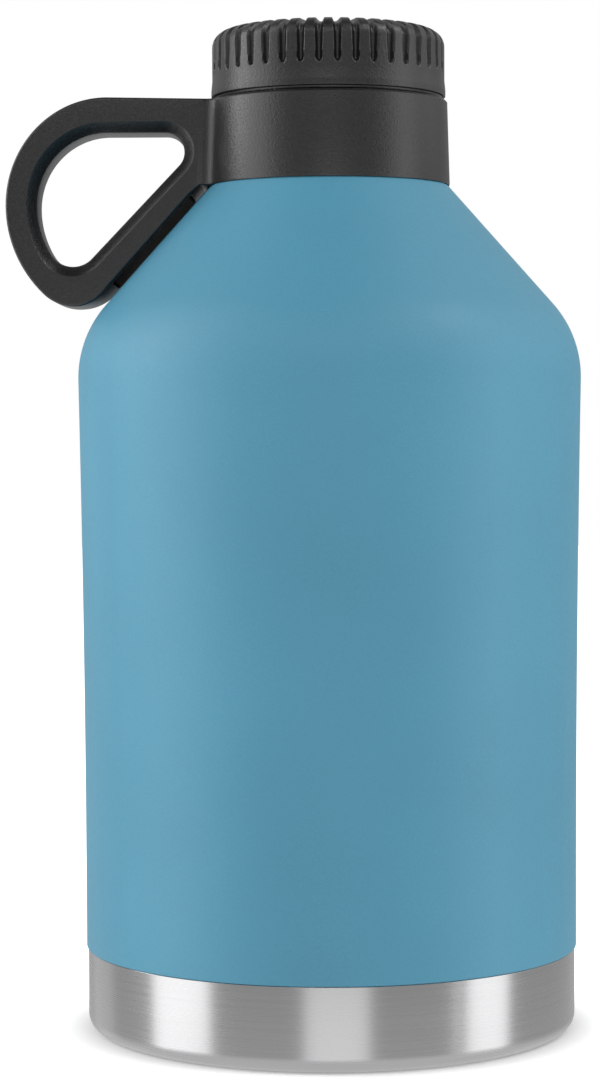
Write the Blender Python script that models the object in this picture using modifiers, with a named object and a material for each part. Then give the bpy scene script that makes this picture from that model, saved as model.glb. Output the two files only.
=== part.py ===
"""Double-wall steel growler with a screw cap and a carrying handle.

The frame is in metres, +Z up. The origin is on the bottle's axis, in the plane that the
base stands on. The handle points along -X and the front of the bottle faces -Y.
"""
import math

import bmesh
import bpy
from mathutils import Matrix, Vector

MM = 0.001
GAP = 0.3 * MM

# Segments around the axis: the large shells, the neck parts, the cap and its grooves.
BODY_SEGMENTS = 40
NECK_SEGMENTS = 48
CAP_SEGMENTS = 40

# Outer wall: a shoulder arc and a cone above a wall that flares gently upwards.
FOOT_WALL_RADIUS = 76.45 * MM
SHOULDER_RADIUS = 78.0 * MM
FLARE_START = 40.0 * MM
SHOULDER_HEIGHT = 202.0 * MM
SHOULDER_BEND = 34.0 * MM
SHOULDER_STEPS = 5
CONE_ANGLE = math.radians(41.4)
SHELL_WALL = 0.7 * MM
OUTER_NECK_RADIUS = 33.5 * MM
FLANGE_HEIGHT = 283.7 * MM

# Bare steel cup that is pressed over the necked-in foot of the outer wall.
BASE_RADIUS = 75.9 * MM
BASE_CORNER = 10.0 * MM
BASE_WALL = 0.6 * MM
BASE_TOP = 25.5 * MM
SHELL_EDGE = 25.8 * MM
SHELL_EDGE_CHAMFER = 0.6 * MM
SHELL_FOOT_RADIUS = 75.0 * MM
SHELL_FOOT_BOTTOM = 10.2 * MM
SHELL_STEP_RISE = 2.1 * MM
GROOVE_RING = (50.0 * MM, 58.0 * MM, 0.9 * MM)

# Closing disc of the vacuum jacket, with its port, its seal and the getter.
CLOSURE_RADIUS = 74.0 * MM
CLOSURE_CORNER = 7.5 * MM
CLOSURE_FLOOR = 3.5 * MM
CLOSURE_RIM_TOP = 14.0 * MM
PORT_RADIUS = 1.5 * MM
DIMPLE_RADIUS = 8.0 * MM
DIMPLE_DEPTH = 1.6 * MM
PORT_SEAL_STEPS = ((3.6 * MM, 0.0), (3.2 * MM, 0.7 * MM), (1.8 * MM, 1.1 * MM), (0.0, 1.2 * MM))
GETTER_PLACE = (34.0 * MM, 0.0, 5.1 * MM)
GETTER_RADIUS = 6.0 * MM
GETTER_HEIGHT = 1.8 * MM
GETTER_CUP_WALL = 0.3 * MM
GETTER_CUP_DEPTH = 1.08 * MM
SMALL_SEGMENTS = 24

# Inner vessel, which holds the drink.
VESSEL_RADIUS = 72.9 * MM
VESSEL_WALL = 0.6 * MM
VESSEL_SEAM = 14.2 * MM
VESSEL_CORNER = 5.0 * MM
VESSEL_FLOOR = 8.5 * MM
VESSEL_FLOOR_DOME = 2.0 * MM
DOME_BREAK = (30.0 * MM, 0.5 * MM)
MOUTH_RADIUS = 27.0 * MM

# Threaded mouth ring.
RING_WALL_RADIUS = 29.2 * MM
RING_LAND_RADIUS = 30.6 * MM
RING_GROOVE_RADIUS = 29.9 * MM
FLANGE_THICKNESS = 2.0 * MM
RING_CHAMFER = 0.6 * MM
RING_LAND_SLOPE = 1.4 * MM
RING_GROOVE_TOP = 288.3 * MM
RING_LAND_TOP = 289.0 * MM
LIP_HEIGHT = 298.8 * MM
KEY_COUNT = 3
KEY_WIDTH = 4.0 * MM
KEY_RADIUS = 35.0 * MM
KEY_INSET = 0.2 * MM
KEY_EMBED = 1.0 * MM
KEY_NOTCH_OVER = 0.1 * MM
FIRST_KEY_ANGLE = math.radians(60.0)

# Two-start right-hand thread.
THREAD_LEAD = 6.0 * MM
THREAD_STARTS = 2
THREAD_TURNS = 1.0
THREAD_ROOT_HALF = 0.8 * MM
THREAD_CREST_HALF = 0.4 * MM
THREAD_EMBED = 0.6 * MM
THREAD_PHASE = math.radians(2.5)
NECK_THREAD_CREST = 30.6 * MM
NECK_THREAD_START = 290.7 * MM
CAP_THREAD_CREST = 29.7 * MM
CAP_THREAD_ROOT = 31.1 * MM
CAP_THREAD_LEAD_IN = math.radians(90.0)

# Collar and its retaining ring.
COLLAR_BOTTOM = 261.1 * MM
COLLAR_TOP = 287.6 * MM
COLLAR_BOTTOM_RADIUS = 37.6 * MM
COLLAR_TOP_RADIUS = 36.85 * MM
COLLAR_BORE = 33.9 * MM
COLLAR_COUNTERBORE = 35.4 * MM
COLLAR_SEAT = 285.9 * MM
SNAP_RING_INNER = 30.2 * MM
SNAP_RING_OUTER = 35.1 * MM
SNAP_RING_BOTTOM = 286.2 * MM
SNAP_RING_TOP = 288.0 * MM
# Box that opens the ring: along the radius, across the split, and in height.
SNAP_RING_SPLIT = (20.0 * MM, 12.0 * MM, 10.0 * MM)

# Handle: a loop around a finger opening, in the XZ plane.
HANDLE_HALF_THICKNESS = 11.0 * MM
HANDLE_ROOT_FILLET = 4.0 * MM
# The top rises from the collar to the end of the loop.
HANDLE_TOP = 287.5 * MM
HANDLE_CREST = 288.2 * MM
LOOP_CENTRE = (-68.2 * MM, 255.1 * MM)
LOOP_OUTER_HALF_WIDTH = 31.25 * MM
LOOP_INNER = (21.8 * MM, 22.5 * MM)
LOWER_CENTRE = (-61.7 * MM, 255.1 * MM)
LOWER_OUTER = 37.75 * MM
LOWER_INNER = 28.3 * MM
TIP_OUTER = 14.0 * MM
TIP_INNER = 8.0 * MM
CORNER_INNER = 6.0 * MM
STRUT_OUTER_POINT = (-39.0 * MM, 260.7 * MM)
STRUT_OUTER_ANGLE = math.radians(41.95)
STRUT_INNER_POINT = (-47.0 * MM, 266.5 * MM)
STRUT_INNER_ANGLE = math.radians(43.6)
HANDLE_ROOT_X = -35.2 * MM
HANDLE_ROOT_BOTTOM = 260.8 * MM
LOOP_INSET = 0.02 * MM
TAB_OVERLAP = 1.0 * MM
CUT_OVER = 2.0 * MM
POCKET_WIDTH = 16.0 * MM
POCKET_DEPTH = 7.5 * MM
POCKET_START = 5.0 * MM
POCKET_LENGTH = 34.0 * MM
POCKET_OVER = 3.0 * MM

# Cap.
CAP_BOTTOM = 288.7 * MM
CAP_TOP = 309.4 * MM
CAP_RADIUS = 36.0 * MM
CAP_SKIRT_RADIUS = 36.3 * MM
CAP_CORNER = (6.5 * MM, 5.5 * MM)
CAP_BORE = 34.0 * MM
CAP_ROOF = 2.9 * MM
GRIP_COUNT = 40
GRIP_RADIUS = 1.1 * MM
GRIP_BOTTOM = 295.8 * MM
GRIP_LIFT = 0.15 * MM
GRIP_RUN_IN = (0.9 * MM, 1.2 * MM)
GRIP_RUN_OUT = ((2.0 * MM, 0.35 * MM), (4.0 * MM, 1.5 * MM))
SKIRT_FLARE_TOP = 5.0 * MM
SKIRT_CHAMFER = 0.2 * MM
ROOF_CORNER = (0.5 * MM, 2.0 * MM)
LINER_BOTTOM = 288.9 * MM
LINER_RADIUS = 33.7 * MM
LINER_CEILING = 301.4 * MM
LINER_ROOF = 1.6 * MM
LINER_CHAMFER = 0.6 * MM
FOAM_RADIUS = 33.3 * MM
FOAM_TAPER = 0.8 * MM
GASKET_RADII = (26.4 * MM, 30.7 * MM)
GASKET_BULGE = 0.3 * MM


def clear_scene():
    for obj in list(bpy.data.objects):
        bpy.data.objects.remove(obj, do_unlink=True)


def collection(name):
    group = bpy.data.collections.new(name)
    bpy.context.scene.collection.children.link(group)
    return group


def material(name, colour, roughness, metallic=0.0):
    mat = bpy.data.materials.new(name)
    mat.use_nodes = True
    shader = mat.node_tree.nodes["Principled BSDF"]
    shader.inputs["Base Color"].default_value = (*colour, 1.0)
    shader.inputs["Roughness"].default_value = roughness
    shader.inputs["Metallic"].default_value = metallic
    mat.diffuse_color = (*colour, 1.0)
    return mat


def arc(centre, radii, start, end, steps):
    """Points on an ellipse arc around centre, with angles in degrees."""
    points = []
    for step in range(steps + 1):
        angle = math.radians(start + (end - start) * step / steps)
        points.append((centre[0] + radii[0] * math.cos(angle),
                       centre[1] + radii[1] * math.sin(angle)))
    return points


def turned(name, profile, segments, closed=True):
    """A profile of (radius, height) points, turned about Z by a Screw modifier.

    The points run down the outer side and back up the inner side. An open profile
    starts and ends on the axis.
    """
    mesh = bpy.data.meshes.new(name)
    edges = [(i, i + 1) for i in range(len(profile) - 1)]
    if closed:
        edges.append((len(profile) - 1, 0))
    mesh.from_pydata([(r, 0.0, z) for r, z in profile], edges, [])
    obj = bpy.data.objects.new(name, mesh)
    bpy.context.scene.collection.objects.link(obj)
    screw = obj.modifiers.new("Screw", "SCREW")
    screw.steps = segments
    screw.render_steps = segments
    screw.use_merge_vertices = True
    screw.merge_threshold = 0.00001
    return obj


def mesh_object(name, bm):
    bmesh.ops.recalc_face_normals(bm, faces=bm.faces)
    mesh = bpy.data.meshes.new(name)
    bm.to_mesh(mesh)
    bm.free()
    obj = bpy.data.objects.new(name, mesh)
    bpy.context.scene.collection.objects.link(obj)
    return obj


def box(name, size, matrix):
    bm = bmesh.new()
    bmesh.ops.create_cube(bm, size=1.0, matrix=matrix @ Matrix.Diagonal((*size, 1.0)))
    return mesh_object(name, bm)


def as_cutter(obj):
    """Mark a helper solid, and keep it out of the model."""
    obj.hide_render = True
    obj.display_type = "WIRE"
    for group in list(obj.users_collection):
        group.objects.unlink(obj)
    CUTTERS.objects.link(obj)
    return obj


def boolean(target, tool, operation):
    modifier = target.modifiers.new(operation.title(), "BOOLEAN")
    modifier.operation = operation
    modifier.solver = "EXACT"
    modifier.object = as_cutter(tool)


def finished(obj, mat, smooth_angle=35.0):
    """Apply the modifiers, shade the result and file the object with the parts."""
    depsgraph = bpy.context.evaluated_depsgraph_get()
    mesh = bpy.data.meshes.new_from_object(obj.evaluated_get(depsgraph))
    obj.modifiers.clear()
    obj.data = mesh
    mesh.name = obj.name
    mesh.shade_smooth()
    mesh.set_sharp_from_angle(angle=math.radians(smooth_angle))
    mesh.materials.clear()
    mesh.materials.append(mat)
    for group in list(obj.users_collection):
        group.objects.unlink(obj)
    PARTS.objects.link(obj)
    return obj


def wall_radius(height):
    """Outer radius of the coated wall: a parabola that starts at FLARE_START."""
    rise = max(0.0, height - FLARE_START) / (SHOULDER_HEIGHT - FLARE_START)
    return FOOT_WALL_RADIUS + (SHOULDER_RADIUS - FOOT_WALL_RADIUS) * rise ** 2


def cone_height(radius, inset=0.0):
    """Height of the cone at a radius, with the surface moved inwards by inset."""
    bend = SHOULDER_BEND - inset
    bend_radius = SHOULDER_RADIUS - SHOULDER_BEND + bend * math.cos(CONE_ANGLE)
    bend_height = SHOULDER_HEIGHT + bend * math.sin(CONE_ANGLE)
    return bend_height + (bend_radius - radius) / math.tan(CONE_ANGLE)


def shoulder(inset):
    """Shoulder arc from the cone's foot down to the widest place."""
    centre = (SHOULDER_RADIUS - SHOULDER_BEND, SHOULDER_HEIGHT)
    bend = SHOULDER_BEND - inset
    return arc(centre, (bend, bend), math.degrees(CONE_ANGLE), 0.0, SHOULDER_STEPS)


def cone_foot(inset):
    """Start of the cone, one gap above the shoulder arc."""
    radius, height = shoulder(inset)[0]
    return radius - GAP * math.sin(CONE_ANGLE), height + GAP * math.cos(CONE_ANGLE)


def upper_shell(prefix, inset, wall, neck, mat):
    """Shoulder, cone and neck of one wall, as three bands with a gap at each joint."""
    arcs = shoulder(inset) + list(reversed(shoulder(inset + wall)))
    finished(turned(f"{prefix}_shoulder", arcs, BODY_SEGMENTS), mat)
    end = neck + GAP
    cone = [(end, cone_height(end, inset)), cone_foot(inset), cone_foot(inset + wall)]
    cone.append((end, cone_height(end, inset + wall)))
    finished(turned(f"{prefix}_cone", cone, BODY_SEGMENTS), mat)
    low = cone_height(neck, inset + wall)
    high = FLANGE_HEIGHT - GAP
    tube = [(neck, high), (neck, low), (neck - wall, low), (neck - wall, high)]
    finished(turned(f"{prefix}_neck", tube, BODY_SEGMENTS), mat)


def outer_wall(mat):
    """Side wall, with the necked-in foot that goes into the base."""
    top = SHOULDER_HEIGHT - GAP
    levels = [top - (top - FLARE_START) * i / 3 for i in range(4)]
    outer = [(wall_radius(level), level) for level in levels]
    outer.append((FOOT_WALL_RADIUS, SHELL_EDGE + SHELL_EDGE_CHAMFER))
    outer.append((BASE_RADIUS, SHELL_EDGE))
    outer.append((SHELL_FOOT_RADIUS, SHELL_EDGE))
    outer.append((SHELL_FOOT_RADIUS, SHELL_FOOT_BOTTOM))
    wall = SHELL_WALL
    inner = [(SHELL_FOOT_RADIUS - wall, SHELL_FOOT_BOTTOM)]
    inner.append((SHELL_FOOT_RADIUS - wall, SHELL_EDGE + wall))
    inner.append((FOOT_WALL_RADIUS - wall, SHELL_EDGE + SHELL_STEP_RISE))
    inner += [(wall_radius(level) - wall, level) for level in reversed(levels)]
    finished(turned("outer_wall", outer + inner, BODY_SEGMENTS), mat)


def base_cup(mat):
    """Wall and rounded corner of the base, as far in as the plate."""
    corner = (BASE_RADIUS - BASE_CORNER, BASE_CORNER)
    inner_corner = BASE_CORNER - BASE_WALL
    profile = [(BASE_RADIUS - BASE_WALL, BASE_TOP), (BASE_RADIUS, BASE_TOP)]
    profile += arc(corner, (BASE_CORNER, BASE_CORNER), 0.0, -90.0, 4)
    profile += arc(corner, (inner_corner, inner_corner), -90.0, 0.0, 4)
    finished(turned("base_cup", profile, BODY_SEGMENTS), mat)


def base_plate(mat):
    """Flat plate in the base, with a raised ring groove."""
    edge = BASE_RADIUS - BASE_CORNER - GAP
    groove_in, groove_out, groove_rise = GROOVE_RING
    profile = [(0.0, BASE_WALL)]
    profile.append((groove_in - BASE_WALL, BASE_WALL))
    profile.append((groove_in - BASE_WALL + groove_rise, BASE_WALL + groove_rise))
    profile.append((groove_out + BASE_WALL - groove_rise, BASE_WALL + groove_rise))
    profile.append((groove_out + BASE_WALL, BASE_WALL))
    profile += [(edge, BASE_WALL), (edge, 0.0)]
    profile.append((groove_out, 0.0))
    profile.append((groove_out - groove_rise, groove_rise))
    profile.append((groove_in + groove_rise, groove_rise))
    profile.append((groove_in, 0.0))
    profile.append((0.0, 0.0))
    finished(turned("base_plate", profile, BODY_SEGMENTS, closed=False), mat)


def jacket_closure(mat):
    """Dished disc that closes the vacuum space, with a dimple around the port."""
    wall = SHELL_WALL
    corner = (CLOSURE_RADIUS - CLOSURE_CORNER, CLOSURE_FLOOR + CLOSURE_CORNER)
    inner_corner = CLOSURE_CORNER - wall
    profile = [(CLOSURE_RADIUS, CLOSURE_RIM_TOP)]
    profile += arc(corner, (CLOSURE_CORNER, CLOSURE_CORNER), 0.0, -90.0, 3)
    profile.append((DIMPLE_RADIUS, CLOSURE_FLOOR))
    profile.append((DIMPLE_RADIUS - DIMPLE_DEPTH, CLOSURE_FLOOR + DIMPLE_DEPTH))
    profile.append((PORT_RADIUS, CLOSURE_FLOOR + DIMPLE_DEPTH))
    profile.append((PORT_RADIUS, CLOSURE_FLOOR + DIMPLE_DEPTH + wall))
    profile.append((DIMPLE_RADIUS - DIMPLE_DEPTH + wall, CLOSURE_FLOOR + DIMPLE_DEPTH + wall))
    profile.append((DIMPLE_RADIUS + wall, CLOSURE_FLOOR + wall))
    profile += arc(corner, (inner_corner, inner_corner), -90.0, 0.0, 3)
    profile.append((CLOSURE_RADIUS - wall, CLOSURE_RIM_TOP))
    finished(turned("outer_bottom", profile, BODY_SEGMENTS), mat)


def port_seal(mat):
    """Button of solder in the dimple, under the port."""
    top = CLOSURE_FLOOR + DIMPLE_DEPTH - GAP
    profile = [(0.0, top)] + [(radius, top - drop) for radius, drop in PORT_SEAL_STEPS]
    finished(turned("vacuum_port_seal", profile, SMALL_SEGMENTS, closed=False), mat)


def getter(pellet_mat, clip_mat):
    """Gas-absorbing pellet in the vacuum space, held in a small pressed cup."""
    x, y, floor = GETTER_PLACE
    top = floor + GETTER_HEIGHT
    pellet = turned("getter_pellet", [(0.0, top), (GETTER_RADIUS, top),
                                      (GETTER_RADIUS, floor), (0.0, floor)],
                    SMALL_SEGMENTS, closed=False)
    wall = GETTER_CUP_WALL
    inner = GETTER_RADIUS + GAP
    cup_floor = floor - GAP
    cup_top = floor + GETTER_CUP_DEPTH
    cup = turned("getter_cup", [(0.0, cup_floor), (inner, cup_floor), (inner, cup_top),
                                (inner + wall, cup_top), (inner + wall, cup_floor - wall),
                                (0.0, cup_floor - wall)], SMALL_SEGMENTS, closed=False)
    for obj, mat in ((pellet, pellet_mat), (cup, clip_mat)):
        finished(obj, mat)
        obj.location = (x, y, 0.0)


def inner_wall(mat):
    """Side wall of the vessel, from its floor's seam to its shoulder."""
    high = SHOULDER_HEIGHT - GAP
    inside = VESSEL_RADIUS - VESSEL_WALL
    profile = [(VESSEL_RADIUS, high), (VESSEL_RADIUS, VESSEL_SEAM), (inside, VESSEL_SEAM),
               (inside, high)]
    finished(turned("inner_wall", profile, BODY_SEGMENTS), mat)


def inner_bottom(mat):
    """Domed floor of the vessel, butt-welded to its wall."""
    wall = VESSEL_WALL
    corner = (VESSEL_RADIUS - VESSEL_CORNER, VESSEL_FLOOR + VESSEL_CORNER)
    inner_corner = VESSEL_CORNER - wall
    top = VESSEL_SEAM - GAP
    dome = VESSEL_FLOOR + VESSEL_FLOOR_DOME
    break_radius, break_drop = DOME_BREAK
    inside = [(0.0, dome + wall), (break_radius, dome + wall - break_drop)]
    inside += arc(corner, (inner_corner, inner_corner), -90.0, 0.0, 3)
    inside.append((VESSEL_RADIUS - wall, top))
    outside = [(VESSEL_RADIUS, top)]
    outside += arc(corner, (VESSEL_CORNER, VESSEL_CORNER), 0.0, -90.0, 3)
    outside += [(break_radius, dome - break_drop), (0.0, dome)]
    finished(turned("inner_bottom", inside + outside, BODY_SEGMENTS, closed=False), mat)


def thread_ridge(name, root, crest, start_height, start_angle, turns, segments):
    """One start of a right-hand thread: a trapezoid face spun along its helix."""
    steps = round(segments * turns)
    outline = [(root, -THREAD_ROOT_HALF), (crest, -THREAD_CREST_HALF),
               (crest, THREAD_CREST_HALF), (root, THREAD_ROOT_HALF)]
    bm = bmesh.new()
    turn = Matrix.Rotation(start_angle, 4, "Z")
    verts = [bm.verts.new(turn @ Vector((r, 0.0, start_height + dz))) for r, dz in outline]
    bm.faces.new(verts)
    bmesh.ops.spin(bm, geom=bm.verts[:] + bm.edges[:] + bm.faces[:], cent=(0.0, 0.0, 0.0),
                   axis=(0.0, 0.0, 1.0), dvec=(0.0, 0.0, THREAD_LEAD * turns / steps),
                   angle=2.0 * math.pi * turns, steps=steps, use_duplicate=False)
    return mesh_object(name, bm)


def neck_ring(mat):
    """Mouth ring: keyed flange, groove for the snap ring, and the outside thread."""
    flange_top = FLANGE_HEIGHT + FLANGE_THICKNESS
    profile = [(MOUTH_RADIUS + RING_CHAMFER, LIP_HEIGHT)]
    profile.append((RING_WALL_RADIUS - RING_CHAMFER, LIP_HEIGHT))
    profile.append((RING_WALL_RADIUS, LIP_HEIGHT - RING_CHAMFER))
    profile.append((RING_WALL_RADIUS, RING_LAND_TOP + RING_LAND_SLOPE))
    profile.append((RING_LAND_RADIUS, RING_LAND_TOP))
    profile.append((RING_LAND_RADIUS, RING_GROOVE_TOP))
    profile.append((RING_GROOVE_RADIUS, RING_GROOVE_TOP))
    profile.append((RING_GROOVE_RADIUS, flange_top))
    profile.append((OUTER_NECK_RADIUS, flange_top))
    profile.append((OUTER_NECK_RADIUS, FLANGE_HEIGHT))
    profile.append((MOUTH_RADIUS, FLANGE_HEIGHT))
    profile.append((MOUTH_RADIUS, LIP_HEIGHT - RING_CHAMFER))
    ring = turned("neck_ring", profile, NECK_SEGMENTS)
    for start in range(THREAD_STARTS):
        angle = THREAD_PHASE + 2.0 * math.pi * start / THREAD_STARTS
        ridge = thread_ridge(f"neck_thread_{start}", RING_WALL_RADIUS - THREAD_EMBED,
                             NECK_THREAD_CREST, NECK_THREAD_START, angle, THREAD_TURNS,
                             NECK_SEGMENTS)
        boolean(ring, ridge, "UNION")
    for index in range(KEY_COUNT):
        key = key_block(f"neck_key_{index}", index, KEY_RADIUS, KEY_WIDTH,
                        FLANGE_HEIGHT + KEY_INSET, flange_top - KEY_INSET)
        boolean(ring, key, "UNION")
    finished(ring, mat)


def key_block(name, index, radius, width, bottom, top):
    """Block that stands out of the flange, and the notch for it in the collar."""
    inner = OUTER_NECK_RADIUS - KEY_EMBED
    angle = FIRST_KEY_ANGLE + 2.0 * math.pi * index / KEY_COUNT
    place = Matrix.Translation(((inner + radius) / 2.0, 0.0, (bottom + top) / 2.0))
    matrix = Matrix.Rotation(angle, 4, "Z") @ place
    return box(name, (radius - inner, width, top - bottom), matrix)


def snap_ring(mat):
    """Split spring ring in the neck's groove, which keeps the collar down."""
    profile = [(SNAP_RING_OUTER, SNAP_RING_TOP), (SNAP_RING_OUTER, SNAP_RING_BOTTOM),
               (SNAP_RING_INNER, SNAP_RING_BOTTOM), (SNAP_RING_INNER, SNAP_RING_TOP)]
    ring = turned("collar_snap_ring", profile, NECK_SEGMENTS)
    split = box("snap_ring_split", SNAP_RING_SPLIT,
                Matrix.Translation((SNAP_RING_OUTER, 0.0, SNAP_RING_TOP)))
    boolean(ring, split, "DIFFERENCE")
    finished(ring, mat)


def collar_plan(radius):
    """Plan outline of the collar: a circle that blends into a tab on its -X side."""
    half = HANDLE_HALF_THICKNESS
    fillet = HANDLE_ROOT_FILLET
    centre_y = half + fillet
    centre_x = -math.sqrt((radius + fillet) ** 2 - centre_y ** 2)
    contact = math.degrees(math.atan2(centre_y, centre_x))
    tab_end = centre_x - TAB_OVERLAP
    points = [(tab_end, -half)]
    points += arc((centre_x, -centre_y), (fillet, fillet), 90.0, 180.0 - contact, 5)
    points += arc((0.0, 0.0), (radius, radius), -contact, contact, 44)
    points += arc((centre_x, centre_y), (fillet, fillet), contact - 180.0, -90.0, 5)
    points.append((tab_end, half))
    return points


def collar_blank():
    """Collar body: its bottom and top outlines, joined by a tapered wall."""
    bm = bmesh.new()
    rings = []
    for radius, height in ((COLLAR_BOTTOM_RADIUS, COLLAR_BOTTOM),
                           (COLLAR_TOP_RADIUS, COLLAR_TOP)):
        rings.append([bm.verts.new((x, y, height)) for x, y in collar_plan(radius)])
    count = len(rings[0])
    bm.faces.new(rings[0])
    bm.faces.new(rings[1])
    for i in range(count):
        j = (i + 1) % count
        bm.faces.new((rings[0][i], rings[0][j], rings[1][j], rings[1][i]))
    return mesh_object("handle_collar", bm)


def strut_tip(centre, bend, tip, point, angle):
    """Centre of the tip arc that touches a circle from inside and a straight strut."""
    normal = (math.cos(angle), -math.sin(angle))
    offset = ((point[0] - centre[0]) * normal[0] + (point[1] - centre[1]) * normal[1])
    reach = bend - tip
    swing = math.acos((tip - offset) / reach) - angle
    return (centre[0] - reach * math.cos(swing), centre[1] - reach * math.sin(swing)), swing


def loop_outline(radii, bend, tip, point, angle):
    """Left end of the loop, from the top round to the foot of the strut."""
    tip_centre, swing = strut_tip(LOWER_CENTRE, bend, tip, point, angle)
    points = arc(LOOP_CENTRE, radii, 90.0, 180.0, 10)
    lowest = 180.0 + math.degrees(swing)
    points += arc(LOWER_CENTRE, (bend, bend), 180.0, lowest, 6)[1:]
    points += arc(tip_centre, (tip, tip), lowest, 360.0 - math.degrees(angle), 7)[1:]
    return points


def handle_outlines():
    outer = [(HANDLE_ROOT_X, HANDLE_TOP)]
    outer += loop_outline((LOOP_OUTER_HALF_WIDTH, HANDLE_CREST - LOOP_CENTRE[1]), LOWER_OUTER,
                          TIP_OUTER, STRUT_OUTER_POINT, STRUT_OUTER_ANGLE)
    outer.append((STRUT_OUTER_POINT[0], HANDLE_ROOT_BOTTOM))
    outer.append((HANDLE_ROOT_X, HANDLE_ROOT_BOTTOM))
    inner = loop_outline(LOOP_INNER, LOWER_INNER, TIP_INNER, STRUT_INNER_POINT,
                         STRUT_INNER_ANGLE)
    top = LOOP_CENTRE[1] + LOOP_INNER[1]
    across = (math.cos(STRUT_INNER_ANGLE), -math.sin(STRUT_INNER_ANGLE))
    corner_z = top - CORNER_INNER
    reach = CORNER_INNER - (STRUT_INNER_POINT[1] - corner_z) * across[1]
    corner = (STRUT_INNER_POINT[0] - reach / across[0], corner_z)
    start = -math.degrees(STRUT_INNER_ANGLE)
    inner += arc(corner, (CORNER_INNER, CORNER_INNER), start, 90.0, 8)
    return outer, inner


def curve_solid(name, curve, outlines, cyclic):
    """Mesh of a poly curve, from lists of (x, y, z) points."""
    for points in outlines:
        spline = curve.splines.new("POLY")
        spline.points.add(len(points) - 1)
        for point, place in zip(spline.points, points):
            point.co = (*place, 1.0)
        spline.use_cyclic_u = cyclic
    obj = bpy.data.objects.new(name, curve)
    bpy.context.scene.collection.objects.link(obj)
    depsgraph = bpy.context.evaluated_depsgraph_get()
    mesh = bpy.data.meshes.new_from_object(obj.evaluated_get(depsgraph))
    bm = bmesh.new()
    bm.from_mesh(mesh)
    bmesh.ops.remove_doubles(bm, verts=bm.verts, dist=0.01 * MM)
    bpy.data.objects.remove(obj, do_unlink=True)
    bpy.data.meshes.remove(mesh)
    return bm


def handle_loop():
    """Flat outline with its opening, extruded to the handle's thickness."""
    curve = bpy.data.curves.new("handle_outline", "CURVE")
    curve.dimensions = "2D"
    curve.fill_mode = "BOTH"
    curve.extrude = HANDLE_HALF_THICKNESS - LOOP_INSET
    outlines = [[(x, z, 0.0) for x, z in points] for points in handle_outlines()]
    bm = curve_solid("handle_outline", curve, outlines, True)
    bmesh.ops.transform(bm, matrix=Matrix.Rotation(math.radians(90.0), 4, "X"), verts=bm.verts)
    return mesh_object("handle_loop", bm)


def collar_bore():
    """Everything turned out of the collar: bore, ring seat and the cone under it."""
    clearance = GAP / math.sin(CONE_ANGLE)
    low = COLLAR_BOTTOM - CUT_OVER
    wide = COLLAR_BOTTOM_RADIUS + TAB_OVERLAP
    profile = [(0.0, COLLAR_TOP + CUT_OVER), (COLLAR_COUNTERBORE, COLLAR_TOP + CUT_OVER)]
    profile.append((COLLAR_COUNTERBORE, COLLAR_SEAT))
    profile.append((COLLAR_BORE, COLLAR_SEAT))
    profile.append((COLLAR_BORE, cone_height(COLLAR_BORE) + clearance))
    profile.append((wide, cone_height(wide) + clearance))
    profile.append((wide, low))
    profile.append((0.0, low))
    return turned("collar_bore", profile, NECK_SEGMENTS, closed=False)


def pocket():
    """Cored-out pocket along the strut's underside."""
    along = Vector((-math.sin(STRUT_OUTER_ANGLE), 0.0, -math.cos(STRUT_OUTER_ANGLE)))
    inward = Vector((-math.cos(STRUT_OUTER_ANGLE), 0.0, math.sin(STRUT_OUTER_ANGLE)))
    start = Vector((STRUT_OUTER_POINT[0], 0.0, STRUT_OUTER_POINT[1]))
    middle = start + along * (POCKET_START + POCKET_LENGTH / 2.0)
    centre = middle + inward * (POCKET_DEPTH - POCKET_OVER) / 2.0
    axes = Matrix((inward, Vector((0.0, 1.0, 0.0)), along)).transposed().to_4x4()
    matrix = Matrix.Translation(centre) @ axes
    size = (POCKET_DEPTH + POCKET_OVER, POCKET_WIDTH, POCKET_LENGTH)
    return box("strut_pocket", size, matrix)


def handle_collar(mat):
    collar = collar_blank()
    boolean(collar, handle_loop(), "UNION")
    boolean(collar, collar_bore(), "DIFFERENCE")
    boolean(collar, pocket(), "DIFFERENCE")
    for index in range(KEY_COUNT):
        notch = key_block(f"collar_notch_{index}", index, KEY_RADIUS + GAP,
                          KEY_WIDTH + 2.0 * GAP, FLANGE_HEIGHT - GAP, COLLAR_SEAT + KEY_NOTCH_OVER)
        boolean(collar, notch, "DIFFERENCE")
    finished(collar, mat)


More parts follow.
